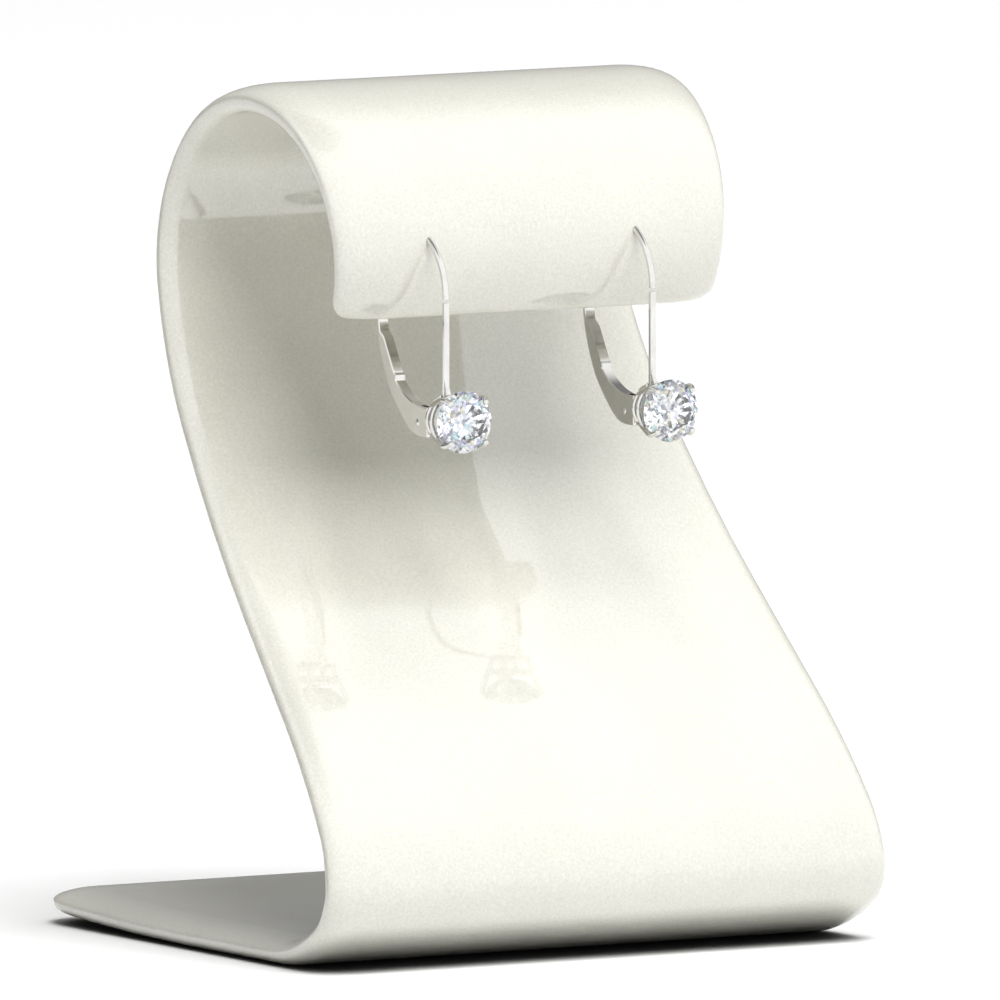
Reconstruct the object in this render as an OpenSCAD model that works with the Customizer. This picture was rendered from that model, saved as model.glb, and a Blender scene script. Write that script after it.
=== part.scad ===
// Pair of leverback earrings hanging from an S-curved display stand.
// The stand is one bent plastic sheet: a base, a front bend, a leaning panel and a roll whose
// lip the two hooks pass through. Each earring has a soldered setting, a brilliant stone, a
// lever and the pin that the lever turns on.
// Origin: centre of the stand's footprint, on the surface it stands on. X right, Y back, Z up.

/* [Display stand] */
// Height of the stand over all
stand_h = 71.8; // [64:0.2:84]
// Thickness of the bent sheet
sheet_t = 2.3; // [1.8:0.1:2.8]
// Width of the base at its free tip
tip_w = 52; // [46:0.5:60]
// Width of the sheet at the front bend
bend_w = 54.3; // [48:0.5:62]
// Width where the panel turns into the roll
roll_w = 44.8; // [38:0.5:52]
// Width of the roll's lip
lip_w = 36.5; // [30:0.5:44]
// Radius of the base tip's two corners
tip_corner_r = 4.6; // [2.5:0.1:7]
// Radius of the lip's two corners
lip_corner_r = 1.5; // [1.2:0.1:4]
// How far the soft edge runs in from the side on the sheet's outer face
soft_edge = 4.4; // [2:0.2:6]
// How far the edge runs in from the side on the sheet's inner face
firm_edge = 0.8; // [0.4:0.1:2]

/* [Where the earrings hang] */
// Distance between the two earrings
pair_spacing = 20; // [16:0.5:24]
// Shift of the pair to the left of the stand's middle
pair_shift = 0.4; // [0:0.1:2]
// Height of the holes above the lip's edge, along the sheet
hole_up = 7.1; // [6:0.1:8.5]
// Clearance round the wire in the stand's holes
hole_clearance = 0.06; // [0.03:0.01:0.12]

/* [Hook] */
// Diameter of the round wire
wire_d = 0.56; // [0.5:0.02:0.7]
// Radius of the hook's front arc
front_arc_r = 5.36; // [5:0.05:6]
// Radius of the hook's back arc
back_arc_r = 4.3; // [4:0.05:4.6]
// Length of the wire's straight end below the back arc
wire_end = 2.3; // [2:0.1:3]
// Width of the hook's flat front bar
bar_w = 0.52; // [0.46:0.02:0.7]
// Thickness of the flat front bar
bar_t = 0.36; // [0.3:0.02:0.5]

/* [Stone] */
// Diameter of the stone
stone_d = 5.2; // [4.4:0.1:6]
// Height of the crown above the girdle
crown_h = 0.82; // [0.6:0.02:1]
// Depth of the pavilion below the girdle
pavilion_h = 2.24; // [1.9:0.02:2.6]
// Thickness of the girdle
girdle_t = 0.12; // [0.08:0.01:0.2]
// Depth of the stone's middle below the middle of the hook's arcs
stone_drop = 10; // [9.4:0.1:11]
// Distance from the flat bar forward to the girdle's plane
stone_front = 3; // [2.8:0.05:3.4]
// Clearance between the stone and its seat
stone_clearance = 0.03; // [0.02:0.01:0.06]

/* [Basket] */
// Thickness of the basket's ring wire
ring_wire_d = 0.44; // [0.36:0.02:0.56]
// Radius of the ring behind the stone
back_ring_r = 1.6; // [1.4:0.05:1.9]
// Distance from the girdle's plane back to the back ring
back_ring_y = 3.25; // [3:0.05:3.6]
// Radius of the ring nearer the stone
seat_ring_r = 1.95; // [1.85:0.05:2.1]
// Distance from the girdle's plane back to the nearer ring
seat_ring_y = 2; // [1.8:0.05:2.2]
// Thickness of each prong
prong_d = 0.56; // [0.44:0.02:0.64]
// How far each prong's tip leans in over the crown
prong_lean = 0.42; // [0.3:0.02:0.5]

/* [Lever and hinge] */
// Distance from the flat bar back to the hinge's axis
hinge_back = 3.76; // [3.6:0.05:4]
// Depth of the hinge's axis below the stone's middle
hinge_drop = 0.54; // [0.3:0.05:0.8]
// Diameter of the hinge pin
pin_d = 0.44; // [0.36:0.02:0.5]
// How far the pin's heads stand out of the lever
pin_head = 0.04; // [0.02:0.01:0.1]
// Clearance round the pin
pin_clearance = 0.03; // [0.02:0.01:0.06]
// Width of the lever
lever_w = 1; // [0.9:0.02:1.2]
// Thickness of the setting's tongue between the lever's ears
tongue_t = 0.36; // [0.3:0.02:0.44]
// Clearance on each side of the tongue
tongue_clearance = 0.05; // [0.04:0.01:0.08]
// Height of the lever above the hinge's axis
lever_h = 10.2; // [9.9:0.1:10.6]
// Length of the lever in front of the hinge's axis
lever_front = 1.55; // [1.4:0.05:1.7]
// Clearance between the wire's end and its cradle in the lever
cradle_clearance = 0.09; // [0.06:0.01:0.12]

/* [Hidden] */
$fn = 48;
overlap = 0.02;
through = 1;

// The sheet's centre line from the base's tip to the lip. Each row is one bend: its turn in
// degrees, positive towards the roll's inside, and its radius as a share of the line's height.
// A row with no turn is straight, and its share is its length.
TURN = 0;
SHARE = 1;
sheet_line = [
    [-4.5, 4.48],   // base, lifting to its tip
    [0, 0.225],     // base, flat on the surface
    [-34, 0.202],   // base into the front bend
    [-64, 0.0555],  // front bend
    [-26.2, 0.151], // front bend into the panel
    [-10.8, 0.815], // lower panel
    [0, 0.169],     // middle of the panel
    [9.4, 1.725],   // upper panel
    [19.4, 0.55],   // upper panel into the roll
    [51.8, 0.192],  // back of the roll
    [55.4, 0.153],  // top of the roll
    [83, 0.1775],   // front of the roll
    [37.3, 0.152]   // lip
];
FLAT_ROW = 1;
BEND_ROW = 3;
ROLL_ROW = 9;
rows = len(sheet_line);

// A place on the centre line is [y, z, direction, distance run].
Y = 0;
Z = 1;
DIR = 2;
RUN = 3;
function row_length(row) = row[TURN] == 0 ? row[SHARE] : row[SHARE] * abs(row[TURN]) * PI / 180;
function side_of(row) = row[TURN] < 0 ? -90 : 90;
function bent(p, row, part) =
    let (dir = p[DIR] + row[TURN] * part, a = p[DIR] + side_of(row), b = dir + side_of(row))
    [p[Y] + row[SHARE] * (cos(a) - cos(b)), p[Z] + row[SHARE] * (sin(a) - sin(b)),
     dir, p[RUN] + row_length(row) * part];
function straight(p, row, part) =
    [p[Y] + row[SHARE] * part * cos(p[DIR]), p[Z] + row[SHARE] * part * sin(p[DIR]),
     p[DIR], p[RUN] + row[SHARE] * part];
function along(p, row, part) = row[TURN] == 0 ? straight(p, row, part) : bent(p, row, part);
function row_start(i) =
    i == 0 ? [0, 0, 180 - sheet_line[0][TURN], 0] : along(row_start(i - 1), sheet_line[i - 1], 1);
starts = [for (i = [0 : rows]) row_start(i)];

// The line is sized so that the stand has its height over all, and placed over the footprint.
bend_steps = 6;
raw = [for (i = [0 : rows - 1], k = [0 : bend_steps]) along(starts[i], sheet_line[i], k / bend_steps)];
line_scale = (stand_h - sheet_t) / (max([for (p = raw) p[Z]]) - starts[FLAT_ROW][Z]);
front_y = min([for (p = raw) p[Y]]) * line_scale - sheet_t / 2;
back_y = max([for (p = raw) p[Y]]) * line_scale;
middle_y = (front_y + back_y) / 2;
base_z = starts[FLAT_ROW][Z] * line_scale - sheet_t / 2;
sheet_run = starts[rows][RUN] * line_scale;
function row_at(run, i = 0) = i == rows - 1 || starts[i + 1][RUN] * line_scale >= run ? i : row_at(run, i + 1);
function sheet_at(run) =
    let (i = row_at(run), part = (run / line_scale - starts[i][RUN]) / row_length(sheet_line[i]),
         p = along(starts[i], sheet_line[i], min(1, max(0, part))))
    [p[Y] * line_scale - middle_y, p[Z] * line_scale - base_z, p[DIR], run];

// Stations along the line: close together at the two ends and through the bends.
degrees_a_step = 6;
end_shares = [0, 0.06, 0.2, 0.45, 0.75];
corner_steps = 6;
function corner_runs(r) = [for (k = [1 : corner_steps]) r * (1 - cos(90 * k / corner_steps))];
tip_runs = concat([for (s = end_shares) s * sheet_t / 2],
                  [for (s = corner_runs(tip_corner_r)) if (s > 0.9 * sheet_t / 2) s]);
lip_runs = concat([for (s = end_shares) sheet_run - s * sheet_t / 2],
                  [for (s = corner_runs(lip_corner_r)) if (s > 0.9 * sheet_t / 2) sheet_run - s]);
lip_first = min(lip_runs);
function row_steps(i) = max(2, ceil(abs(sheet_line[i][TURN]) / degrees_a_step));
bend_runs = [for (i = [0 : rows - 1], k = [1 : row_steps(i)])
             (starts[i][RUN] + row_length(sheet_line[i]) * k / row_steps(i)) * line_scale];
between_runs = [for (s = bend_runs) if (s > tip_corner_r + 0.3 && s < lip_first - 0.3) s];
stations = concat(tip_runs, between_runs, [for (k = [len(lip_runs) - 1 : -1 : 0]) lip_runs[k]]);

// Width of the sheet, rounded at its corners, and fullness of its two rounded ends.
bend_run = (starts[BEND_ROW][RUN] + starts[BEND_ROW + 1][RUN]) / 2 * line_scale;
roll_run = starts[ROLL_ROW][RUN] * line_scale;
width_marks = [[0, tip_w], [bend_run, bend_w], [roll_run, roll_w], [sheet_run, lip_w]];
function rounded_off(run, r) = run >= r ? 0 : r - sqrt(r * r - (r - run) * (r - run));
function half_width(run) =
    lookup(run, width_marks) / 2 - rounded_off(run, tip_corner_r)
    - rounded_off(sheet_run - run, lip_corner_r);
end_blunt = 0.45;
function fullness(run) =
    let (k = min(1, min(run, sheet_run - run) / (sheet_t / 2)))
    end_blunt + (1 - end_blunt) * sqrt(1 - (1 - k) * (1 - k));

// One section of the sheet, [across, through]: firm edge on the inner face, soft on the outer.
firm_angles = [0, 30, 60, 90];
soft_angles = [90, 72, 54, 36, 18];
function edge_point(half, reach, angle, side) =
    [half - reach + reach * cos(angle), side * sheet_t / 2 * sin(angle)];
function right_side(half) =
    concat([for (a = soft_angles) edge_point(half, soft_edge, a, -1)],
           [for (a = firm_angles) edge_point(half, firm_edge, a, 1)]);
function section(half) =
    let (side = right_side(half))
    concat(side, [for (k = [len(side) - 1 : -1 : 0]) [-side[k][0], side[k][1]]]);
function station_points(run) =
    let (p = sheet_at(run), full = fullness(run))
    [for (q = section(half_width(run)))
     [q[0], p[Y] + q[1] * full * cos(p[DIR] + 90), p[Z] + q[1] * full * sin(p[DIR] + 90)]];

module sheet() {
    points = [for (run = stations) each station_points(run)];
    n = len(section(1));
    last = len(stations) - 1;
    walls = [for (i = [0 : last - 1], j = [0 : n - 1])
             let (a = i * n + j, b = i * n + (j + 1) % n)
             each [[a, b, b + n], [a, b + n, a + n]]];
    caps = [[for (j = [n - 1 : -1 : 0]) j], [for (j = [0 : n - 1]) last * n + j]];
    polyhedron(points, concat(walls, caps), convexity = 6);
}

// Each earring's own origin is the middle of its hook's arcs, with the sheet pierced where the
// front arc crosses the sheet's centre line.
pierce_angle = 106.3;
hole = sheet_at(sheet_run - hole_up);
hook_y = hole[Y] - front_arc_r * cos(pierce_angle);
hook_z = hole[Z] - front_arc_r * sin(pierce_angle);
module place(side) {
    translate([side * pair_spacing / 2 - pair_shift, hook_y, hook_z]) children();
}

bar_y = -front_arc_r;
girdle_y = bar_y - stone_front;
hinge_y = bar_y + hinge_back;
hinge_z = -stone_drop - hinge_drop;
lever_edge_z = 1.34;
lever_low_z = -1.16;
top_gap = front_arc_r - back_arc_r;

// Part of a ring of wire in the Y-Z plane, from one angle over another, as seen from +X.
module wire_arc(radius, wire, from, over) {
    rotate([90, 0, 90]) rotate([0, 0, from])
        rotate_extrude(angle = over) translate([radius, 0]) circle(d = wire);
}

// A plate with its outline in the Y-Z plane, centred on X.
module plate(width, outline) {
    translate([-width / 2, 0, 0]) rotate([90, 0, 90]) linear_extrude(width) polygon(outline);
}

// A round rod of one thickness between two points.
module rod(a, b, d) {
    run = b - a;
    translate(a) rotate([0, acos(run[2] / norm(run)), atan2(run[1], run[0])]) cylinder(h = norm(run), d = d);
}

module stand() {
    color("ivory") difference() {
        sheet();
        for (side = [-1, 1])
            place(side) wire_arc(front_arc_r, wire_d + 2 * hole_clearance, 60, 100);
    }
}

// The wire passes the sheet, turns down behind the lip and ends in the lever's cradle.
bar_foot = -stone_drop + back_ring_r;
blend_h = 0.9;
wire_tip = 0.2;
module hook() {
    wire_arc(front_arc_r, wire_d, 90, 90);
    translate([0, 0, top_gap]) wire_arc(back_arc_r, wire_d, 0, 90);
    translate([0, back_arc_r, top_gap - wire_end]) cylinder(h = wire_end, d = wire_d);
    translate([0, back_arc_r, top_gap - wire_end - wire_tip]) cylinder(h = wire_tip, d1 = wire_d / 2, d2 = wire_d);
    translate([0, bar_y, -blend_h]) cylinder(h = blend_h, d1 = bar_t * 0.9, d2 = wire_d);
    translate([-bar_w / 2, bar_y - bar_t / 2, bar_foot]) cube([bar_w, bar_t, -blend_h / 3 - bar_foot]);
}

module basket_ring(radius, behind_girdle) {
    translate([0, girdle_y + behind_girdle, -stone_drop]) rotate([90, 0, 0])
        rotate_extrude() translate([radius, 0]) circle(d = ring_wire_d);
}

// Prongs run from the back ring past the girdle, and their tips lean in over the crown.
prong_angles = [45, 135, 225, 315];
shoulder_r = stone_d / 2 + 0.2;
tip_y = -crown_h * 0.75;
prong_shaft_d = prong_d * 0.86;
module prong(angle) {
    foot = [back_ring_r * cos(angle), back_ring_y, back_ring_r * sin(angle)];
    shoulder = [shoulder_r * cos(angle), 0.1, shoulder_r * sin(angle)];
    tip_r = shoulder_r - prong_lean;
    tip = [tip_r * cos(angle), tip_y, tip_r * sin(angle)];
    rod(foot, shoulder, prong_shaft_d);
    rod(shoulder, tip, prong_shaft_d);
    translate(shoulder) sphere(d = prong_shaft_d * 1.06);
    translate(tip) sphere(d = prong_d);
}

// The seat is the stone's outline turned round, grown by the clearance.
module stone_seat() {
    grown = stone_d / 2 + stone_clearance;
    rotate([90, 0, 0]) rotate_extrude() polygon([
        [0, -pavilion_h - girdle_t - 2 * stone_clearance],
        [grown, -girdle_t - stone_clearance],
        [grown, stone_clearance],
        [stone_d / 2 * table_share, crown_h + 2 * stone_clearance],
        [0, crown_h + 2 * stone_clearance]
    ]);
}

// The heel joins the basket to the hinge: a block behind the back ring, a tongue between the
// lever's ears, and a small web in front of the bar's foot.
heel_w = 0.9;
heel_top = 2.1;
heel_low = 1.5;
swing_clearance = 0.2;
swing_r = norm([lever_front, lever_edge_z]) + swing_clearance;
tongue_r = 0.85;
tongue_root = 0.3;
module heel() {
    front = girdle_y + back_ring_y - ring_wire_d / 4;
    back = hinge_y - swing_r;
    plate(heel_w, [[front, -stone_drop - heel_low], [back, -stone_drop - heel_low],
                   [back, -stone_drop + heel_top - 0.6], [front, -stone_drop + heel_top]]);
    root = back - hinge_y - tongue_root;
    corner = tongue_r * 0.41;
    translate([0, hinge_y, hinge_z]) plate(tongue_t, [
        [root, -tongue_r], [corner, -tongue_r], [tongue_r, -corner],
        [tongue_r, corner], [corner, tongue_r], [root, tongue_r]]);
    plate(bar_w * 0.7, [[bar_y, bar_foot + 1.6], [bar_y - 0.9, bar_foot - 0.1], [bar_y, bar_foot - 0.1]]);
}

module setting(side) {
    color("gainsboro") place(side) difference() {
        union() {
            hook();
            basket_ring(back_ring_r, back_ring_y);
            basket_ring(seat_ring_r, seat_ring_y);
            translate([0, girdle_y, -stone_drop]) for (a = prong_angles) prong(a);
            heel();
        }
        translate([0, girdle_y, -stone_drop]) stone_seat();
        hinge_bore();
    }
}

module hinge_bore() {
    translate([-lever_w / 2 - through, hinge_y, hinge_z]) rotate([0, 90, 0])
        cylinder(h = lever_w + 2 * through, d = pin_d + 2 * pin_clearance);
}

// Round brilliant: table, stars, bezels and upper halves over the girdle, lower halves and
// mains under it. Radii are shares of the stone's, and heights follow from flat facets.
table_share = 0.6;
star_share = 0.8;
lower_share = 0.24;
function stone_ring(radius, height, count, turn) =
    [for (k = [0 : count - 1]) let (a = turn + 360 * k / count) [radius * cos(a), radius * sin(a), height]];
module brilliant() {
    r = stone_d / 2;
    half = cos(22.5);
    star_h = crown_h * (1 - star_share * half) / (1 - table_share);
    lower_h = -girdle_t - pavilion_h * (1 - lower_share * half);
    points = concat(
        stone_ring(r * table_share, crown_h, 8, 0),
        stone_ring(r * star_share, star_h, 8, 22.5),
        stone_ring(r, 0, 16, 0),
        stone_ring(r, -girdle_t, 16, 0),
        stone_ring(r * lower_share, lower_h, 8, 22.5),
        [[0, 0, -girdle_t - pavilion_h]]);
    star = 8;
    upper = 16;
    lower = 32;
    main = 48;
    culet = 56;
    faces = [
        [for (k = [7 : -1 : 0]) k],
        for (k = [0 : 7]) let (next = (k + 1) % 8, back = (k + 7) % 8, g = 2 * k, h = (2 * k + 2) % 16)
            each [
                [k, next, star + k],
                [k, star + k, upper + g],
                [k, upper + g, star + back],
                [star + k, upper + g + 1, upper + g],
                [star + k, upper + h, upper + g + 1],
                [upper + g, upper + g + 1, lower + g + 1, lower + g],
                [upper + g + 1, upper + h, lower + h, lower + g + 1],
                [main + k, lower + g, lower + g + 1],
                [main + k, lower + g + 1, lower + h],
                [main + k, lower + h, main + next],
                [main + k, main + next, culet]
            ]
    ];
    polyhedron(points, faces);
}

module stone(side) {
    color("azure") place(side) translate([0, girdle_y, -stone_drop]) rotate([90, 0, 0]) brilliant();
}

// The lever's outline about the hinge's axis, [back, up]. Its inner edge rises in one arc to a
// ledge, then in a straight face to a shoulder and the cradle that holds the wire's end.
inner_r = 6.9;
ledge = [3.56, 3.25];
shoulder = [5.45, 6.65];
neck = [6.28, 7.15];
back_bend = [2.2, 0.1];
wire_back = back_arc_r - hinge_y;
wire_low = top_gap - wire_end - wire_tip - hinge_z;
function inner_arc(steps) =
    let (mid_y = ledge[0] - sqrt(inner_r * inner_r - pow(lever_edge_z + inner_r - ledge[1], 2)),
         last = asin((ledge[0] - mid_y) / inner_r))
    [for (k = [0 : steps]) let (a = last * k / steps)
     [mid_y + inner_r * sin(a), lever_edge_z + inner_r * (1 - cos(a))]];
module lever(side) {
    cradle_low = wire_low - 0.2;
    tip = lever_h;
    outline = concat(
        [[-lever_front, lever_low_z], [-lever_front, lever_edge_z]],
        inner_arc(10),
        [[3.5, 3.62], [3.82, 3.84], shoulder, neck,
         [wire_back + 0.42, cradle_low - 0.5], [wire_back + 0.05, cradle_low],
         [wire_back + 0.05, tip - 0.15], [wire_back + 0.2, tip], [wire_back + 0.95, tip],
         [6.6, 7.9], [6.3, 6.35], [5.85, 5.05], [5.2, 3.63], [4.4, 2.3], [3.43, 1.22],
         [2.65, 0.42], [1.95, -0.2], [1.3, -0.68], [0.6, -0.98], [-0.2, -1.12]]);
    color("gainsboro") place(side) difference() {
        translate([0, hinge_y, hinge_z]) plate(lever_w, outline);
        hinge_bore();
        tongue_slot();
        translate([0, back_arc_r, hinge_z + cradle_low - through])
            cylinder(h = tip - cradle_low + 2 * through, d = wire_d + 2 * cradle_clearance);
    }
}

// The slot between the lever's two ears, open to the front and below and closed behind the
// hinge, so that the lever clears the tongue all the way.
module tongue_slot() {
    slot_w = tongue_t + 2 * tongue_clearance;
    slot_r = tongue_r + 0.12;
    translate([-slot_w / 2, hinge_y - lever_front - through, hinge_z])
        cube([slot_w, lever_front + through, lever_h / 2]);
    translate([-slot_w / 2, hinge_y - lever_front - through, hinge_z - lever_h / 2])
        cube([slot_w, lever_front + through + slot_r * 0.94, lever_h / 2 + overlap]);
    translate([-slot_w / 2, hinge_y, hinge_z]) rotate([0, 90, 0]) cylinder(h = slot_w, r = slot_r);
}

module pin(side) {
    length = lever_w + 2 * pin_head;
    color("white") place(side) translate([-length / 2, hinge_y, hinge_z]) rotate([0, 90, 0])
        cylinder(h = length, d = pin_d);
}

stand();
setting(-1);  // left_setting
stone(-1);  // left_stone
lever(-1);  // left_lever
pin(-1);  // left_pin
setting(1);  // right_setting
stone(1);  // right_stone
lever(1);  // right_lever
pin(1);  // right_pin
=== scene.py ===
import math
import bmesh
import bpy
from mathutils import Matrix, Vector


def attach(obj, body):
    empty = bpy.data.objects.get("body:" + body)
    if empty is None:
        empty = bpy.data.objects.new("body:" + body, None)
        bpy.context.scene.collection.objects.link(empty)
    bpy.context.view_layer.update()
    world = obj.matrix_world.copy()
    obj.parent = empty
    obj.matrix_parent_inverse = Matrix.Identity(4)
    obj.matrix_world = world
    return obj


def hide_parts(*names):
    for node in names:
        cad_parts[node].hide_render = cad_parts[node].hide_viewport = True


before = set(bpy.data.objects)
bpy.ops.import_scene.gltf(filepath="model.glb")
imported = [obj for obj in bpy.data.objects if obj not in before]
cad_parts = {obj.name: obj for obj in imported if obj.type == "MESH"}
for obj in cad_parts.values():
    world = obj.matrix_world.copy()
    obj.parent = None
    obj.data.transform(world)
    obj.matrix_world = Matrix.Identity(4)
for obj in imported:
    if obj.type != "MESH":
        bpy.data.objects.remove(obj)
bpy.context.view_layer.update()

# The view. The stand is seen from its front left and a little above, from far off, so that its
# parallel edges stay parallel. The picture is 1000 wide and shows 12 of its dots to the millimetre.
mm = 0.001
picture_dots, dots_per_mm = 1000, 12
camera_turn = math.radians(31)
camera_tilt = math.radians(5.587)
camera_far, camera_reach = 3.4, 20
sensor_w = 36
view_width = picture_dots / dots_per_mm * mm
picture_middle = Vector((3.12, -1.93, 36.17)) * mm
looking = Vector((math.sin(camera_turn) * math.cos(camera_tilt),
                  math.cos(camera_turn) * math.cos(camera_tilt),
                  -math.sin(camera_tilt)))
bpy.ops.object.camera_add(location=picture_middle - looking * camera_far,
                          rotation=looking.to_track_quat("-Z", "Y").to_euler())
camera = bpy.context.object
camera.name = "long_lens"
camera.data.sensor_width = sensor_w
camera.data.lens = sensor_w * camera_far / view_width
camera.data.clip_end = camera_reach
bpy.context.scene.camera = camera


# The stand's finish. The sheet is ivory plastic with a fine hide-like grain pressed into it, and
# it is polished over the grain, so that the pits lie under a clear and glossy coat.
class Wire:
    """A socket of a material, with arithmetic that adds Math nodes."""

    def __init__(self, tree, socket):
        self.tree = tree
        self.socket = socket

    def node(self, kind, settings, inputs, output=0):
        """Add a node: its settings first, then the values and links of its sockets."""
        made = self.tree.nodes.new(kind)
        for name, value in settings.items():
            if name == "stops":
                ramp = made.color_ramp
                while len(ramp.elements) < len(value):
                    ramp.elements.new(0.5)
                for stop, (position, shade) in zip(ramp.elements, value):
                    stop.position = position
                    stop.color = shade
            elif name == "interpolation":
                made.color_ramp.interpolation = value
            else:
                setattr(made, name, value)
        for name, value in inputs.items():
            if isinstance(value, Wire):
                self.tree.links.new(value.socket, made.inputs[name])
            else:
                made.inputs[name].default_value = value
        return Wire(self.tree, made.outputs[output])

    def maths(self, operation, first, second):
        return self.node("ShaderNodeMath", {"operation": operation}, {0: first, 1: second})

    def __add__(self, other):
        return self.maths("ADD", self, other)

    __radd__ = __add__

    def __sub__(self, other):
        return self.maths("SUBTRACT", self, other)

    def __rsub__(self, other):
        return self.maths("SUBTRACT", other, self)

    def __mul__(self, other):
        return self.maths("MULTIPLY", self, other)

    __rmul__ = __mul__


def new_finish(name, constants):
    """A material whose shader has its constant values set, and the object's own coordinates."""
    finish = bpy.data.materials.new(name)
    finish.use_nodes = True
    tree = finish.node_tree
    shader = tree.nodes["Principled BSDF"]
    for socket, value in constants.items():
        shader.inputs[socket].default_value = value
    place = tree.nodes.new("ShaderNodeTexCoord")
    return finish, shader, Wire(tree, place.outputs["Object"])


def drive(shader, socket, wire):
    """Let a wire set one of the shader's sockets."""
    wire.tree.links.new(wire.socket, shader.inputs[socket])


ivory_dark, ivory_light = (0.61, 0.6, 0.53, 1), (0.71, 0.7, 0.625, 1)
cloud_scale, speckle_scale, pebble_scale = 90.0, 4600.0, 1900.0
speckle_share, speckle_height = 0.65, 0.6
ivory_rough, rough_spread = 0.3, 0.14
grain_strength, grain_depth = 0.6, 0.06 * mm
ivory, ivory_shader, place = new_finish("ivory_plastic", {
    "IOR": 1.5, "Coat Weight": 1.0, "Coat Roughness": 0.03, "Coat IOR": 2.1})
cloud = place.node("ShaderNodeTexNoise", {}, {
    "Vector": place, "Scale": cloud_scale, "Detail": 3.0})
speckle = place.node("ShaderNodeTexNoise", {}, {
    "Vector": place, "Scale": speckle_scale, "Detail": 2.0})
pebble = place.node("ShaderNodeTexVoronoi", {"feature": "F1"}, {
    "Vector": place, "Scale": pebble_scale})
shade = cloud * (1 - speckle_share) + speckle * speckle_share
drive(ivory_shader, "Base Color", place.node("ShaderNodeValToRGB", {"stops": [
    (0.35, ivory_dark), (0.65, ivory_light)]}, {"Fac": shade}))
drive(ivory_shader, "Roughness", ivory_rough + speckle * rough_spread)
grain = speckle * speckle_height + pebble * (1 - speckle_height)
drive(ivory_shader, "Normal", place.node("ShaderNodeBump", {}, {
    "Height": grain, "Strength": grain_strength, "Distance": grain_depth}))

# The stand. One sheet of plastic, 2.3 mm thick, bent hot: a base that lifts a little to its tip,
# a front bend, a leaning panel and a roll that ends in a lip. It narrows from the bend to the lip.
sheet_t = 2.3 * mm
line_height = 69.4 * mm
# Each stretch turns by so many degrees, on a radius that is a share of the line's height. Where it
# turns by none it is straight, and the share gives its length.
sheet_line = [
    (-4.5, 4.48),    # base, lifting to its tip
    (0, 0.225),      # base, flat on the surface
    (-34, 0.202),    # base into the front bend
    (-64, 0.0555),   # front bend
    (-26.2, 0.151),  # front bend into the panel
    (-10.8, 0.815),  # lower panel
    (0, 0.169),      # middle of the panel
    (9.4, 1.725),    # upper panel
    (19.4, 0.55),    # upper panel into the roll
    (51.8, 0.192),   # back of the roll
    (55.4, 0.153),   # top of the roll
    (83, 0.1775),    # front of the roll
    (37.3, 0.152),   # lip
]
flat_base, front_bend, roll_back, roll_front = 1, 3, 9, 11
tip_w, bend_w, roll_w, lip_w = 52 * mm, 54.3 * mm, 44.8 * mm, 36.5 * mm
tip_corner_r, lip_corner_r = 4.6 * mm, 1.5 * mm
soft_edge, base_edge, lip_edge = 4.4 * mm, 2.2 * mm, 0.8 * mm
tip_soft, tip_firm = 5 * mm, 2.4 * mm
tip_least, lip_least = 0.1, 0.12


def stretch_length(turn, share):
    return (share if turn == 0 else share * abs(math.radians(turn))) * line_height


def along(start, turn, share, part):
    """The place [y, z, direction, run] that a part of one stretch reaches."""
    y, z, direction, run = start
    reach = share * line_height
    if turn == 0:
        heading = math.radians(direction)
        return (y + reach * part * math.cos(heading), z + reach * part * math.sin(heading),
                direction, run + reach * part)
    side = math.copysign(90, turn)
    before = math.radians(direction + side)
    after = math.radians(direction + turn * part + side)
    return (y + reach * (math.cos(before) - math.cos(after)),
            z + reach * (math.sin(before) - math.sin(after)),
            direction + turn * part, run + stretch_length(turn, share) * part)


starts = [(0.0, 0.0, 180 - sheet_line[0][0], 0.0)]
for turn, share in sheet_line:
    starts.append(along(starts[-1], turn, share, 1))


def run_to(stretch):
    """How far along the sheet one of its stretches starts."""
    return starts[stretch][3]


sheet_run = run_to(len(sheet_line))
flat_z = starts[flat_base][1]
places_each = 6
line_y = [along(start, *stretch, k / places_each)[0]
          for start, stretch in zip(starts, sheet_line) for k in range(places_each + 1)]
footprint_middle = (min(line_y) - sheet_t / 2 + max(line_y)) / 2


def sheet_at(run):
    """Where the middle of the sheet is and which way it heads, so far along it."""
    i = 0
    while i < len(sheet_line) - 1 and run_to(i + 1) < run:
        i += 1
    part = (run - run_to(i)) / stretch_length(*sheet_line[i])
    y, z, direction, _ = along(starts[i], *sheet_line[i], min(1, max(0, part)))
    return y - footprint_middle, z - flat_z + sheet_t / 2, math.radians(direction)


bend_run = (run_to(front_bend) + run_to(front_bend + 1)) / 2
roll_run = run_to(roll_back)
widths = [(0, tip_w), (bend_run, bend_w), (roll_run, roll_w), (sheet_run, lip_w)]


def rounded_off(run, radius):
    """What a rounded corner takes from the half width, so far from the sheet's end."""
    return 0 if run >= radius else radius - math.sqrt(max(0, radius ** 2 - (radius - run) ** 2))


def half_width(run):
    for (from_run, from_w), (to_run, to_w) in zip(widths, widths[1:]):
        if run <= to_run:
            break
    whole = from_w + (to_w - from_w) * (run - from_run) / (to_run - from_run)
    return whole / 2 - rounded_off(run, tip_corner_r) - rounded_off(sheet_run - run, lip_corner_r)


def eased_in(run, reach):
    """How full the sheet is near an end: none at the end itself, all of it a reach away."""
    near = min(1, run / reach)
    return math.sqrt(1 - (1 - near) ** 2)


def fullness(run, side):
    """The share of the half thickness on one face. The base's top thins further back from its tip."""
    from_tip = eased_in(run, tip_soft if side < 0 else tip_firm)
    from_lip = eased_in(sheet_run - run, sheet_t / 2)
    return min(tip_least + (1 - tip_least) * from_tip, lip_least + (1 - lip_least) * from_lip)


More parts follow.
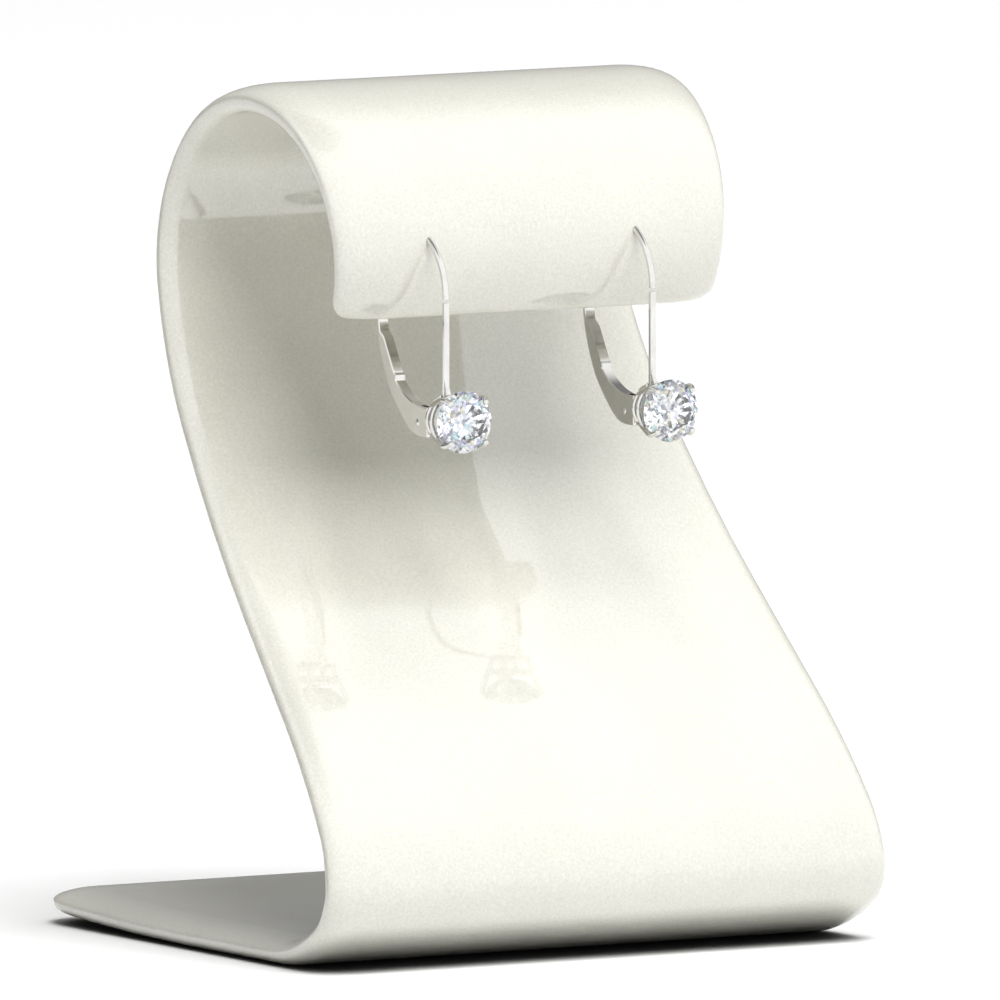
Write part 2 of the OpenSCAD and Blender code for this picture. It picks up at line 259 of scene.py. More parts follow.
# The cuts across the sheet lie close together at its two ends and every few degrees of its bends.
end_shares = [0.01, 0.04, 0.1, 0.18, 0.3, 0.45, 0.62, 0.8]
tip_angles, lip_angles = range(46, 91, 4), (82, 90)
most_turn, least_steps, row_gap = 2.5, 3, 0.3 * mm
tip_rows = [share * sheet_t / 2 for share in end_shares]
tip_rows += [tip_corner_r * (1 - math.cos(math.radians(a))) for a in tip_angles]
lip_rows = [sheet_run - share * sheet_t / 2 for share in end_shares]
lip_rows += [sheet_run - lip_corner_r * (1 - math.cos(math.radians(a))) for a in lip_angles]
line_rows = []
for i, (turn, share) in enumerate(sheet_line):
    steps = max(least_steps, math.ceil(abs(turn) / most_turn))
    line_rows += [run_to(i) + stretch_length(turn, share) * k / steps for k in range(1, steps + 1)]
line_rows = [run for run in line_rows if tip_corner_r + row_gap < run < min(lip_rows) - row_gap]
rows = sorted(tip_rows + lip_rows + line_rows)
soft_angles = [90, 84, 76, 67, 58, 48, 38, 28, 18, 8]
firm_angles = [0, 15, 30, 45, 60, 75, 90]


def inner_edge(run):
    """How far the edge runs in on the inner face: it gets firmer over the roll, towards the lip."""
    over_roll = min(1, max(0, (run - roll_run) / (run_to(roll_front) - roll_run)))
    return base_edge + (lip_edge - base_edge) * over_roll


def edge_place(half, edge, degrees, side):
    """A place on the sheet's rounded edge, on the side of one of its two faces."""
    angle = math.radians(degrees)
    return half - edge + edge * math.cos(angle), side * sheet_t / 2 * math.sin(angle)


def section(run):
    """One cut across the sheet: [across, through], soft on the roll's outside, firm inside it."""
    half, firm_edge = half_width(run), inner_edge(run)
    right = [edge_place(half, soft_edge, a, -1) for a in soft_angles]
    right += [edge_place(half, firm_edge, a, 1) for a in firm_angles]
    return right + [(-x, n) for x, n in reversed(right)]


def sheet_rim(run):
    """The sheet's outline at one place along its run."""
    y, z, direction = sheet_at(run)
    rim = []
    for x, n in section(run):
        n *= fullness(run, n)
        rim.append(Vector((x, y - n * math.sin(direction), z + n * math.cos(direction))))
    return rim


def drawn_on(name, rims):
    """A closed shape that starts as one filled outline and is drawn on from each rim to the next."""
    bpy.ops.object.select_all(action="DESELECT")
    bpy.ops.mesh.primitive_circle_add(vertices=len(rims[0]), radius=1 * mm, fill_type="NGON")
    piece = bpy.context.object
    piece.name = name
    bpy.ops.object.mode_set(mode="EDIT")
    mesh = bmesh.from_edit_mesh(piece.data)
    place_on_rim = mesh.verts.layers.int.new("place_on_rim")
    for index, vert in enumerate(mesh.verts):
        vert[place_on_rim] = index
    for number, rim in enumerate(rims):
        if number:
            bpy.ops.mesh.extrude_region_move()
            mesh = bmesh.from_edit_mesh(piece.data)
            place_on_rim = mesh.verts.layers.int["place_on_rim"]
        for vert in mesh.verts:
            if vert.select:
                vert.co = rim[vert[place_on_rim]]
    bmesh.update_edit_mesh(piece.data)
    bpy.ops.mesh.select_all(action="SELECT")
    bpy.ops.mesh.normals_make_consistent(inside=False)
    bpy.ops.object.mode_set(mode="OBJECT")
    return piece


def cut_away(piece, cutter):
    """Take one closed shape out of another, and delete the cutter."""
    bpy.ops.object.select_all(action="DESELECT")
    bpy.context.view_layer.objects.active = piece
    piece.select_set(True)
    cut = piece.modifiers.new("cut", "BOOLEAN")
    cut.operation = "DIFFERENCE"
    cut.solver = "EXACT"
    cut.object = cutter
    bpy.ops.object.modifier_apply(modifier=cut.name)
    bpy.data.objects.remove(cutter, do_unlink=True)


def set_in_place(piece, finish, body, node):
    """Give a finished piece its finish and the body it rides on, and hide the solid it stands for."""
    piece.data.materials.clear()
    piece.data.materials.append(finish)
    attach(piece, body)
    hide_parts(node)


stand = drawn_on("bent_sheet", [sheet_rim(run) for run in rows])

# The hooks' holes. Each hook's arcs turn about a middle behind the lip, and the front arc crosses
# the sheet 7.1 mm up from the lip's edge, in a hole as wide as the wire needs. The pair hangs a
# little left of the stand's middle.
wire_d = 0.56 * mm
hole_gap = 0.012 * mm
front_arc_r = 5.36 * mm
back_arc_r = 4.3 * mm
hole_up = 7.1 * mm
pierce_angle = math.radians(106.3)
hole_y, hole_z, _ = sheet_at(sheet_run - hole_up)
hook_y = hole_y - front_arc_r * math.cos(pierce_angle)
hook_z = hole_z - front_arc_r * math.sin(pierce_angle)
pair_spacing, pair_shift = 20 * mm, 0.4 * mm
left_x = -pair_spacing / 2 - pair_shift
for x in (left_x, left_x + pair_spacing):
    bpy.ops.object.select_all(action="DESELECT")
    bpy.ops.mesh.primitive_torus_add(major_radius=front_arc_r, minor_radius=wire_d / 2 + hole_gap,
                                     major_segments=96, minor_segments=28,
                                     location=(x, hook_y, hook_z), rotation=(0, math.pi / 2, 0))
    cut_away(stand, bpy.context.object)
bpy.ops.object.shade_smooth_by_angle(angle=math.radians(40))
set_in_place(stand, ivory, "stand_and_settings", "stand")

# The metal. White gold, cast and soldered and then polished bright. The polishing cloth leaves
# faint level marks, and the colour clouds a little from place to place.
gold_dark, gold_light = (0.66, 0.652, 0.628, 1), (0.73, 0.724, 0.704, 1)
rub_scale, streak_scale = 700.0, (900.0, 900.0, 5200.0)
gold_rough, gold_spread = 0.07, 0.07
streak_strength, streak_depth = 0.12, 0.01 * mm
white_gold, gold_shader, place = new_finish("polished_white_gold", {"Metallic": 1.0, "IOR": 1.5})
rub = place.node("ShaderNodeTexNoise", {}, {"Vector": place, "Scale": rub_scale, "Detail": 4.0})
streak_way = place.node("ShaderNodeMapping", {}, {"Vector": place, "Scale": streak_scale})
streak = place.node("ShaderNodeTexNoise", {}, {"Vector": streak_way, "Scale": 1.0, "Detail": 2.0})
drive(gold_shader, "Base Color", place.node("ShaderNodeValToRGB", {"stops": [
    (0.3, gold_dark), (0.7, gold_light)]}, {"Fac": rub}))
drive(gold_shader, "Roughness", gold_rough + streak * gold_spread)
drive(gold_shader, "Normal", place.node("ShaderNodeBump", {}, {
    "Height": streak, "Strength": streak_strength, "Distance": streak_depth}))

# The setting. A round wire hook is bent from the top of a flat front bar, and the bar, two
# basket rings, four prongs and the heel that holds the hinge are soldered into one piece.
bar_w, bar_t, bar_soft = 0.52 * mm, 0.36 * mm, 0.045 * mm
wire_end, wire_tip = 1.7 * mm, 0.2 * mm
blend_h = 0.9 * mm
stone_r, table_share = 2.6 * mm, 0.6
crown_h, pavilion_h, girdle_t = 0.82 * mm, 2.24 * mm, 0.12 * mm
stone_drop, stone_front = 10 * mm, 3 * mm
seat_gap = 0.03 * mm
ring_wire_r = 0.22 * mm
back_ring_r, back_ring_y = 1.6 * mm, 3.25 * mm
seat_ring_r, seat_ring_y = 1.95 * mm, 2 * mm
prong_r, bead_r, prong_lean = 0.24 * mm, 0.27 * mm, 0.42 * mm
prong_out, shoulder_back, prong_over = 0.2 * mm, 0.1 * mm, 0.75
heel_w, heel_h, heel_front_h, heel_soft = 0.9 * mm, 1.5 * mm, 2.1 * mm, 0.07 * mm
web_share, web_h, web_front, web_root = 0.7, 1.6 * mm, 0.9 * mm, 0.1 * mm
hinge_back, hinge_drop = 3.76 * mm, 0.54 * mm
pin_r, pin_gap, pin_dome, bore_length = 0.22 * mm, 0.03 * mm, 0.1 * mm, 4 * mm
tongue_t, tongue_r, tongue_root, tongue_soft = 0.36 * mm, 0.85 * mm, 0.3 * mm, 0.03 * mm
lever_w, lever_front, lever_edge_z, swing_gap = 1 * mm, 1.55 * mm, 1.34 * mm, 0.2 * mm
bar_y = hook_y - front_arc_r
girdle_y = bar_y - stone_front
stone_z = hook_z - stone_drop
hinge_y = bar_y + hinge_back
hinge_z = stone_z - hinge_drop
top_gap = front_arc_r - back_arc_r
swing_r = math.hypot(lever_front, lever_edge_z) + swing_gap
octagon_share = 0.41
merge_gap = 0.002 * mm
# The hook's free end is narrowed in steps: [share of the tip's length, width kept].
tip_steps = [(0.5, 0.86), (0.35, 0.65), (0.15, 0.3)]
# The wire is flattened into the bar in steps: [share of the height, width kept, depth kept].
blend_steps = [(0.45, 0.97, 0.86), (0.55, 0.92, bar_t / wire_d / 0.92)]


def flat_plate(name, width, outline, soften):
    """A plate cut to an outline of [y, z] places, centred on the left earring, its edges softened."""
    rims = [[Vector((left_x + side * width / 2, y, z)) for y, z in outline] for side in (-1, 1)]
    plate = drawn_on(name, rims)
    if soften:
        edge = plate.modifiers.new("edge", "BEVEL")
        edge.width = soften
        edge.segments = 1
        edge.limit_method = "ANGLE"
        edge.angle_limit = math.radians(35)
        bpy.ops.object.modifier_apply(modifier=edge.name)
    return plate


def round_rod(name, places, radii, sides):
    """A rod drawn on through places, with its own radius at each."""
    heading = (places[1] - places[0]).normalized()
    across = heading.orthogonal().normalized()
    rims = []
    for k, (place, radius) in enumerate(zip(places, radii)):
        heading = (places[min(k + 1, len(places) - 1)] - places[max(k - 1, 0)]).normalized()
        across = (across - heading * across.dot(heading)).normalized()
        up = heading.cross(across)
        rims.append([place + (across * math.cos(a) + up * math.sin(a)) * radius
                     for a in (math.tau * side / sides for side in range(sides))])
    return drawn_on(name, rims)


def hook_wire():
    """The hook: one ring of wire spun over the top in two arcs, drawn down and tipped round."""
    bpy.ops.object.select_all(action="DESELECT")
    bpy.ops.mesh.primitive_circle_add(vertices=32, radius=wire_d / 2, fill_type="NOTHING",
                                      location=(left_x, bar_y, hook_z))
    hook = bpy.context.object
    bpy.ops.object.transform_apply(location=True, rotation=True, scale=True)
    bpy.ops.object.mode_set(mode="EDIT")
    bpy.ops.mesh.spin(steps=44, angle=math.pi / 2, axis=(1, 0, 0),
                      center=(left_x, hook_y, hook_z))
    bpy.ops.mesh.spin(steps=40, angle=math.pi / 2, axis=(1, 0, 0),
                      center=(left_x, hook_y, hook_z + top_gap))
    middle = (left_x, hook_y + back_arc_r, hook_z)
    for drop, kept in [(wire_end, 1)] + [(wire_tip * share, kept) for share, kept in tip_steps]:
        bpy.ops.mesh.extrude_region_move(TRANSFORM_OT_translate={"value": (0, 0, -drop)})
        bpy.ops.transform.resize(value=(kept, kept, 1), center_override=middle)
    bpy.ops.mesh.select_all(action="DESELECT")
    mesh = bmesh.from_edit_mesh(hook.data)
    for edge in mesh.edges:
        edge.select_set(edge.is_boundary and all(v.co.y < hook_y for v in edge.verts))
    bmesh.update_edit_mesh(hook.data)
    for share, width, depth in blend_steps:
        drop = blend_h * share
        bpy.ops.mesh.extrude_region_move(TRANSFORM_OT_translate={"value": (0, 0, -drop)})
        bpy.ops.transform.resize(value=(width, depth, 1), center_override=(left_x, bar_y, hook_z))
    bpy.ops.mesh.select_all(action="SELECT")
    bpy.ops.mesh.fill_holes(sides=0)
    bpy.ops.mesh.normals_make_consistent(inside=False)
    bpy.ops.object.mode_set(mode="OBJECT")
    return hook


def front_bar():
    """The flat bar: a block with rounded edges, its top sunk in the flattened end of the wire."""
    bpy.ops.object.select_all(action="DESELECT")
    top = hook_z - blend_h / 3
    foot = stone_z + back_ring_r
    bpy.ops.mesh.primitive_cube_add(size=1, location=(left_x, bar_y, (top + foot) / 2),
                                    scale=(bar_w, bar_t, top - foot))
    bar = bpy.context.object
    bpy.ops.object.transform_apply(location=True, rotation=True, scale=True)
    edge = bar.modifiers.new("edge", "BEVEL")
    edge.width = bar_soft
    edge.segments = 3
    bpy.ops.object.modifier_apply(modifier=edge.name)
    return bar


def basket_ring(radius, behind):
    """One ring of the basket, round the stone's middle and some way behind its girdle."""
    bpy.ops.object.select_all(action="DESELECT")
    bpy.ops.mesh.primitive_torus_add(major_radius=radius, minor_radius=ring_wire_r,
                                     major_segments=72, minor_segments=20,
                                     location=(left_x, girdle_y + behind, stone_z),
                                     rotation=(math.pi / 2, 0, 0))
    ring = bpy.context.object
    bpy.ops.object.transform_apply(location=True, rotation=True, scale=True)
    return ring


def copy_of(piece):
    """A copy with its own mesh, the only thing selected."""
    bpy.ops.object.select_all(action="DESELECT")
    piece.select_set(True)
    bpy.context.view_layer.objects.active = piece
    bpy.ops.object.duplicate(linked=False)
    return bpy.context.object


def prongs():
    """Four prongs: one drawn from the back ring past the girdle, its tip a bead, and three copies."""
    out = Vector((math.cos(math.pi / 4), 0, math.sin(math.pi / 4)))
    middle = Vector((left_x, girdle_y, stone_z))
    foot = middle + out * back_ring_r + Vector((0, back_ring_y, 0))
    shoulder = middle + out * (stone_r + prong_out) + Vector((0, shoulder_back, 0))
    tip = middle + out * (stone_r + prong_out - prong_lean) - Vector((0, crown_h * prong_over, 0))
    rise = (shoulder - foot).normalized()
    over = (tip - shoulder).normalized()
    before, past = shoulder.lerp(foot, 0.12), shoulder.lerp(tip, 0.5)
    foot_share, straight_steps, bend_steps = 0.6, 5, 8
    places = [foot - rise * ring_wire_r * foot_share]
    places += [foot.lerp(before, k / straight_steps) for k in range(straight_steps)]
    radii = [prong_r * foot_share] + [prong_r] * straight_steps
    for k in range(bend_steps + 1):
        t = k / bend_steps
        places.append(before * (1 - t) ** 2 + shoulder * (2 * t * (1 - t)) + past * t ** 2)
        radii.append(prong_r * (1 + 0.06 * t))
    bead_from, bead_step, bead_rows = -14, 12.4, 9
    for k in range(bead_rows):
        a = math.radians(bead_from + bead_step * k)
        places.append(tip + over * bead_r * math.sin(a))
        radii.append(bead_r * math.cos(a))
    made = [round_rod("prong", places, radii, 24)]
    for turn in (90, 180, 270):
        made.append(copy_of(made[0]))
        bpy.ops.transform.rotate(value=math.radians(turn), orient_axis="Y", center_override=middle)
        bpy.ops.object.transform_apply(location=True, rotation=True, scale=True)
    return made


def heel():
    """The heel: a block behind the back ring, a tongue for the hinge, and a web from the bar's
    foot to the front ring."""
    front = girdle_y + back_ring_y - ring_wire_r / 2
    back = hinge_y - swing_r
    block = flat_plate("heel_block", heel_w, [
        (front, stone_z - heel_h), (back, stone_z - heel_h),
        (back, stone_z + heel_h), (front, stone_z + heel_front_h)], heel_soft)
    corner = tongue_r * octagon_share
    root = back - tongue_root
    tongue = flat_plate("heel_tongue", tongue_t, [
        (root, hinge_z - tongue_r), (hinge_y + corner, hinge_z - tongue_r),
        (hinge_y + tongue_r, hinge_z - corner), (hinge_y + tongue_r, hinge_z + corner),
        (hinge_y + corner, hinge_z + tongue_r), (root, hinge_z + tongue_r)], tongue_soft)
    foot = stone_z + back_ring_r
    web = flat_plate("heel_web", bar_w * web_share, [
        (bar_y, foot + web_h), (bar_y - web_front, foot - web_root), (bar_y, foot - web_root)], 0)
    return [block, tongue, web]


def stone_seat():
    """The stone's own outline grown by the gap and spun round, to cut from the basket."""
    outline = [(0, pavilion_h + girdle_t + 2 * seat_gap), (stone_r + seat_gap, girdle_t + seat_gap),
               (stone_r + seat_gap, -seat_gap), (stone_r * table_share, -crown_h - 2 * seat_gap),
               (0, -crown_h - 2 * seat_gap)]
    bpy.ops.object.select_all(action="DESELECT")
    bpy.ops.mesh.primitive_circle_add(vertices=len(outline), radius=1 * mm, fill_type="NOTHING")
    seat = bpy.context.object
    bpy.ops.object.mode_set(mode="EDIT")
    mesh = bmesh.from_edit_mesh(seat.data)
    mesh.verts.ensure_lookup_table()
    for vert, (r, y) in zip(mesh.verts, outline):
        vert.co = (left_x + r, girdle_y + y, stone_z)
    mesh.edges.remove(mesh.edges.get((mesh.verts[0], mesh.verts[len(outline) - 1])))
    bmesh.update_edit_mesh(seat.data)
    bpy.ops.mesh.select_all(action="SELECT")
    bpy.ops.mesh.spin(steps=96, angle=math.tau, axis=(0, 1, 0),
                      center=(left_x, girdle_y, stone_z))
    bpy.ops.mesh.select_all(action="SELECT")
    bpy.ops.mesh.remove_doubles(threshold=merge_gap)
    bpy.ops.mesh.normals_make_consistent(inside=False)
    bpy.ops.object.mode_set(mode="OBJECT")
    return seat


def rod_across(radius, length, sides):
    """A round rod along the hinge, to cut with."""
    bpy.ops.object.select_all(action="DESELECT")
    bpy.ops.mesh.primitive_cylinder_add(vertices=sides, radius=radius, depth=length,
                                        location=(left_x, hinge_y, hinge_z),
                                        rotation=(0, math.pi / 2, 0))
    return bpy.context.object


def hinge_bore():
    return rod_across(pin_r + pin_gap, bore_length, 32)


def right_twin(piece, name):
    """A copy set over to the right earring."""
    twin = copy_of(piece)
    twin.name = name
    bpy.ops.transform.translate(value=(pair_spacing, 0, 0))
    bpy.ops.object.transform_apply(location=True, rotation=True, scale=True)
    return twin


parts = [hook_wire(), front_bar()]
parts += [basket_ring(back_ring_r, back_ring_y), basket_ring(seat_ring_r, seat_ring_y)]
parts += prongs() + heel()
bpy.ops.object.select_all(action="DESELECT")
for part in parts:
    part.select_set(True)
bpy.context.view_layer.objects.active = parts[0]
bpy.ops.object.join()
setting = bpy.context.object
setting.name = "left_soldered_setting"
bpy.ops.object.mode_set(mode="EDIT")
bpy.ops.mesh.select_all(action="SELECT")
bpy.ops.mesh.intersect_boolean(operation="UNION", use_self=True, solver="EXACT")
bpy.ops.object.mode_set(mode="OBJECT")
cut_away(setting, stone_seat())
cut_away(setting, hinge_bore())
bpy.ops.object.mode_set(mode="EDIT")
bpy.ops.mesh.select_all(action="SELECT")
bpy.ops.mesh.fill_holes(sides=0)
bpy.ops.object.mode_set(mode="OBJECT")
bpy.ops.object.shade_smooth_by_angle(angle=math.radians(32))
for side, piece in (("left", setting), ("right", right_twin(setting, "right_soldered_setting"))):
    set_in_place(piece, white_gold, "stand_and_settings", side + "_setting")

# The stones. Each is a round brilliant, cut facet by facet from a blank: a table, eight stars,
# eight bezels and sixteen halves above the girdle, and sixteen halves and eight mains below.
star_share, lower_share = 0.8, 0.24
eighth, sixteenth = 45, 22.5
blank_h, blank_middle, heart_y, facet_merge = 3.4 * mm, 0.7 * mm, 0.3 * mm, 0.003 * mm
painted_flash_scale = 2100.0
crystal, crystal_shader, place = new_finish("brilliant_crystal", {
    "Roughness": 0.0, "IOR": 2.4, "Transmission Weight": 1.0, "Specular IOR Level": 0.5})
# Painted fire and reflections: each small patch of a stone's colour takes one of seven tints,
# which stand for coloured flashes of dispersed light and mirrored bright and dark surroundings.
painted_flash_cells = place.node("ShaderNodeTexVoronoi", {"feature": "F1"}, {
    "Vector": place, "Scale": painted_flash_scale, "Randomness": 1.0}, 1)
painted_flash_pick = place.node("ShaderNodeSeparateColor", {}, {"Color": painted_flash_cells})
# Painted light: these tints in the stone's colour stand in for its fire and its reflections.
drive(crystal_shader, "Base Color", place.node("ShaderNodeValToRGB", {
    "interpolation": "CONSTANT", "stops": [
        (0.0, (0.42, 0.38, 0.80, 1)),    # violet
        (0.07, (0.90, 0.91, 0.94, 1)),   # bright
        (0.32, (0.50, 0.54, 0.62, 1)),   # grey
        (0.47, (0.28, 0.54, 0.58, 1)),   # blue green
        (0.54, (1.0, 1.0, 0.99, 1)),     # clear
        (0.76, (0.46, 0.44, 0.26, 1)),   # yellow
        (0.83, (0.12, 0.13, 0.16, 1)),   # dark
    ]}, {"Fac": painted_flash_pick}))


def ring_place(radius, degrees, height):
    """A place on the stone in its own frame: the table faces along -Y."""
    angle = math.radians(degrees)
    return Vector((radius * math.cos(angle), -height, radius * math.sin(angle)))


def facet_planes():
    """Three places on each facet, from the table down to the culet."""
    half = math.cos(math.radians(sixteenth))
    star_h = crown_h * (1 - star_share * half) / (1 - table_share)
    lower_h = -girdle_t - pavilion_h * (1 - lower_share * half)
    culet = Vector((0, girdle_t + pavilion_h, 0))
    yield [ring_place(1 * mm, degrees, crown_h) for degrees in (0, 90, 180)]
    for k in range(8):
        a = eighth * k
        corner = ring_place(stone_r * table_share, a, crown_h)
        next_corner = ring_place(stone_r * table_share, a + eighth, crown_h)
        star = ring_place(stone_r * star_share, a + sixteenth, star_h)
        rim = ring_place(stone_r, a, 0)
        mid_rim = ring_place(stone_r, a + sixteenth, 0)
        next_rim = ring_place(stone_r, a + eighth, 0)
        low_rim = ring_place(stone_r, a, -girdle_t)
        low_mid = ring_place(stone_r, a + sixteenth, -girdle_t)
        low_next = ring_place(stone_r, a + eighth, -girdle_t)
        main = ring_place(stone_r * lower_share, a + sixteenth, lower_h)
        yield corner, next_corner, star
        yield corner, star, rim
        yield star, rim, mid_rim
        yield star, mid_rim, next_rim
        yield main, low_rim, low_mid
        yield main, low_mid, low_next
        yield low_rim, main, culet


bpy.ops.object.select_all(action="DESELECT")
bpy.ops.mesh.primitive_cylinder_add(vertices=96, radius=stone_r, depth=blank_h,
                                    location=(0, blank_middle, 0), rotation=(math.pi / 2, 0, 0))
brilliant = bpy.context.object
brilliant.name = "left_brilliant"
bpy.ops.object.transform_apply(location=True, rotation=True, scale=True)
bpy.ops.object.mode_set(mode="EDIT")
heart = Vector((0, heart_y, 0))
for one, two, three in facet_planes():
    normal = (two - one).cross(three - one).normalized()
    if normal.dot(one - heart) < 0:
        normal = -normal
    bpy.ops.mesh.select_all(action="SELECT")
    bpy.ops.mesh.bisect(plane_co=one, plane_no=normal, use_fill=True, clear_outer=True,
                        threshold=1e-7)
bpy.ops.mesh.select_all(action="SELECT")
bpy.ops.mesh.remove_doubles(threshold=facet_merge)
bpy.ops.mesh.normals_make_consistent(inside=False)
bpy.ops.object.mode_set(mode="OBJECT")
bpy.ops.transform.translate(value=(left_x, girdle_y, stone_z))
bpy.ops.object.transform_apply(location=True, rotation=True, scale=True)
for side, piece in (("left", brilliant), ("right", right_twin(brilliant, "right_brilliant"))):
    set_in_place(piece, crystal, "stand_and_settings", side + "_stone")

# The levers. Each is cast as one curved plate, sawn at its foot into two ears that straddle the
# setting's tongue, and hollowed at its tip into a cradle for the end of the hook.
lever_h, lever_low_z, lever_soft = 10.2 * mm, -1.16 * mm, 0.075 * mm
inner_r, inner_steps = 6.9 * mm, 20
ledge_y, ledge_z = 3.56 * mm, 3.25 * mm
wire_back = back_arc_r - (hinge_y - hook_y)
upright_low = 8.9 * mm
cradle_drop, cradle_gap, cradle_h = 0.15 * mm, 0.09 * mm, 6 * mm
cradle_low = top_gap + hook_z - wire_end - wire_tip - hinge_z - cradle_drop
slot_w, slot_h, slot_r = tongue_t + 0.1 * mm, 5 * mm, 0.97 * mm
slot_front, slot_back, slot_lap = 4 * mm, 0.91 * mm, 0.02 * mm
inner_mid = ledge_y - math.sqrt(inner_r ** 2 - (lever_edge_z + inner_r - ledge_z) ** 2)
inner_last = math.asin((ledge_y - inner_mid) / inner_r)
inner_arc = [(inner_mid + inner_r * math.sin(inner_last * k / inner_steps),
              lever_edge_z + inner_r * (1 - math.cos(inner_last * k / inner_steps)))
             for k in range(inner_steps + 1)]
# Places on the lever's edge in millimetres, [back, up] from the hinge. The cradle's two lists are
# back from the hook's end, and up from the upright's foot and from the lever's top.
upper_edge = [(3.5, 3.62), (3.82, 3.84), (5.45, 6.65), (6.1, 7.15)]
cradle_foot = [(0.43, -0.5), (0.02, 0)]
cradle_top = [(0.05, -0.15), (0.2, 0), (0.95, 0)]
outer_edge = [(6.6, 7.9), (6.3, 6.35), (5.85, 5.05), (5.2, 3.63), (4.4, 2.3), (3.43, 1.22),
              (2.65, 0.42), (1.95, -0.2), (1.3, -0.68), (0.6, -0.98), (-0.2, -1.12)]


def eased(points, steps):
    """A smooth curve through points, each stretch bending as its neighbours do."""
    points = [Vector((*p, 0)) for p in points]
    ends = [points[0] * 2 - points[1]] + points + [points[-1] * 2 - points[-2]]
    out = []
    for a, b, c, d in zip(ends, ends[1:], ends[2:], ends[3:]):
        for k in range(steps):
            t = k / steps
            out.append(0.5 * (2 * b + (c - a) * t + (2 * a - 5 * b + 4 * c - d) * t ** 2
                              + (3 * b - a - 3 * c + d) * t ** 3))
    return [(p.x, p.y) for p in out + [points[-1]]]


lever_outline = [(-lever_front, lever_low_z), (-lever_front, lever_edge_z)] + inner_arc
lever_outline += [(y * mm, z * mm) for y, z in upper_edge]
lever_outline += [(wire_back + y * mm, upright_low + z * mm) for y, z in cradle_foot]
lever_outline += [(wire_back + y * mm, lever_h + z * mm) for y, z in cradle_top]
top_corner = tuple(length / mm for length in lever_outline[-1])
lever_outline += [(y * mm, z * mm) for y, z in eased([top_corner] + outer_edge, 3)[1:]]


def slot_cutter(low, high, back):
    """A block as wide as the slot, from in front of the lever to some way behind the hinge."""
    bpy.ops.object.select_all(action="DESELECT")
    bpy.ops.mesh.primitive_cube_add(
        size=1, location=(left_x, hinge_y + (back - slot_front) / 2, hinge_z + (low + high) / 2),
        scale=(slot_w, back + slot_front, high - low))
    return bpy.context.object


lever = flat_plate("left_curved_lever", lever_w,
                   [(hinge_y + y, hinge_z + z) for y, z in lever_outline], lever_soft)
cut_away(lever, slot_cutter(0, slot_h, 0))
cut_away(lever, slot_cutter(-slot_h, slot_lap, slot_back))
cut_away(lever, rod_across(slot_r, slot_w, 48))
cut_away(lever, hinge_bore())
bpy.ops.object.select_all(action="DESELECT")
bpy.ops.mesh.primitive_cylinder_add(
    vertices=40, radius=wire_d / 2 + cradle_gap, depth=cradle_h,
    location=(left_x, hook_y + back_arc_r, hinge_z + cradle_low + cradle_h / 2))
cut_away(lever, bpy.context.object)
bpy.ops.object.shade_smooth_by_angle(angle=math.radians(25))
for side, piece in (("left", lever), ("right", right_twin(lever, "right_curved_lever"))):
    set_in_place(piece, white_gold, side + "_lever_body", side + "_lever")

# The hinge pins. Each is a short wire pushed through the ears and the tongue and dressed to a
# low dome at both ends. Its steps are [share of the dome's height, width by the wire's].
dome_steps = [(0, 1.0), (0.02, 1.5), (0.4, 1.4), (0.75, 0.95), (0.95, 0.5), (1, 0.1)]
pin_shape = [(lever_w / 2 + pin_dome * rise, width) for rise, width in dome_steps]
pin_shape = [(-across, width) for across, width in reversed(pin_shape)] + pin_shape
pin_places = [Vector((left_x + across, hinge_y, hinge_z)) for across, _ in pin_shape]
pin = round_rod("left_hinge_pin", pin_places, [pin_r * width for _, width in pin_shape], 28)
bpy.ops.object.shade_smooth_by_angle(angle=math.radians(40))
for side, piece in (("left", pin), ("right", right_twin(pin, "right_hinge_pin"))):
    set_in_place(piece, white_gold, "stand_and_settings", side + "_pin")
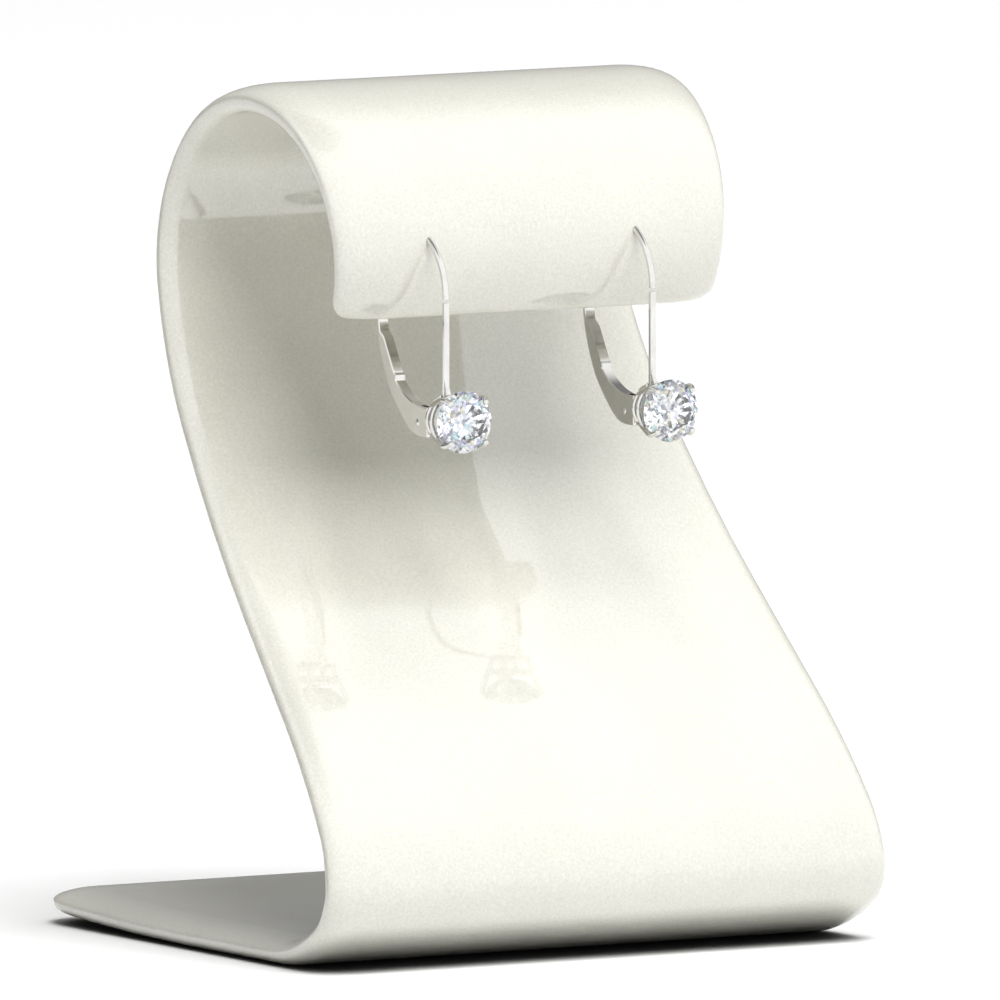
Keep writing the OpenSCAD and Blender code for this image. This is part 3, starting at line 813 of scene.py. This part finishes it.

# The studio. A white floor, one wide soft light high over the front, weak ones from the front, the
# right and behind, and a pale room. Close round the stand, where little light gets in, the floor's
# colour is darkened: a painted contact shadow.
floor_size, floor_near = 6, 4.5 * mm
painted_shadow_dark, floor_white = 0.03, 0.88
softbox_far, softbox_size = 4.0, 2.8
room_light, front_gleam, dim_gleam, seen_white = 0.08, 1.3, 0.25, 1.05
bpy.ops.object.select_all(action="DESELECT")
bpy.ops.mesh.primitive_plane_add(size=floor_size, location=(0, 0, 0))
floor = bpy.context.object
floor.name = "studio_floor"
paper, paper_shader, place = new_finish("white_paper", {"Roughness": 0.9, "Specular IOR Level": 0.1})
# Painted contact shadow: the paper's colour darkens where the stand is close round it.
painted_shadow_openness = place.node("ShaderNodeAmbientOcclusion", {"samples": 12}, {"Distance": floor_near}, "AO")
soft_step = {"interpolation_type": "SMOOTHSTEP"}
drive(paper_shader, "Base Color", place.node("ShaderNodeMapRange", soft_step, {
    "Value": painted_shadow_openness, "From Min": 0.05, "From Max": 0.85, "To Min": painted_shadow_dark,
    "To Max": floor_white}))
floor.data.materials.append(paper)


def softbox(name, turn, rise, strength):
    """A square soft light, far off, given by its bearing from the front and its height angle."""
    turn, rise = math.radians(turn), math.radians(rise)
    away = Vector((math.sin(turn) * math.cos(rise), -math.cos(turn) * math.cos(rise),
                   math.sin(rise)))
    bpy.ops.object.light_add(type="AREA", location=away * softbox_far,
                             rotation=away.to_track_quat("Z", "Y").to_euler())
    lamp = bpy.context.object
    lamp.name = name
    lamp.data.size = softbox_size
    lamp.data.energy = (math.pi * softbox_far) ** 2 * strength
    lamp.visible_glossy = False


softbox("key_softbox", 0, 65, 1.36)
softbox("front_softbox", 20, 30, 0.06)
softbox("back_softbox", 160, 45, 0.1)
softbox("right_softbox", 90, 35, 0.16)
# The room is bright where the pieces mirror it, less so behind and overhead, and dim as a light.
room = bpy.data.worlds.new("pale_room")
bpy.context.scene.world = room
room.use_nodes = True
room_tree = room.node_tree
walls = room_tree.nodes["Background"]
way = Wire(room_tree, room_tree.nodes.new("ShaderNodeTexCoord").outputs["Generated"])
light_path = room_tree.nodes.new("ShaderNodeLightPath")
diffuse_ray = Wire(room_tree, light_path.outputs["Is Diffuse Ray"])
seen_ray = Wire(room_tree, light_path.outputs["Is Camera Ray"])
backward = way.node("ShaderNodeSeparateXYZ", {}, {"Vector": way}, "Y")
upward = way.node("ShaderNodeSeparateXYZ", {}, {"Vector": way}, "Z")
behind = way.node("ShaderNodeMapRange", soft_step, {
    "Value": backward, "From Min": -0.1, "From Max": 0.5})
overhead = way.node("ShaderNodeMapRange", soft_step, {
    "Value": upward, "From Min": 0.85, "From Max": 0.98})
gleam = front_gleam - (front_gleam - dim_gleam) * behind.maths("MAXIMUM", behind, overhead)
walls.inputs["Color"].default_value = (1, 1, 1, 1)
unseen = gleam + diffuse_ray * (room_light - gleam)
room_tree.links.new((unseen + seen_ray * (seen_white - gleam)).socket, walls.inputs["Strength"])
bpy.context.scene.view_settings.view_transform = "Standard"
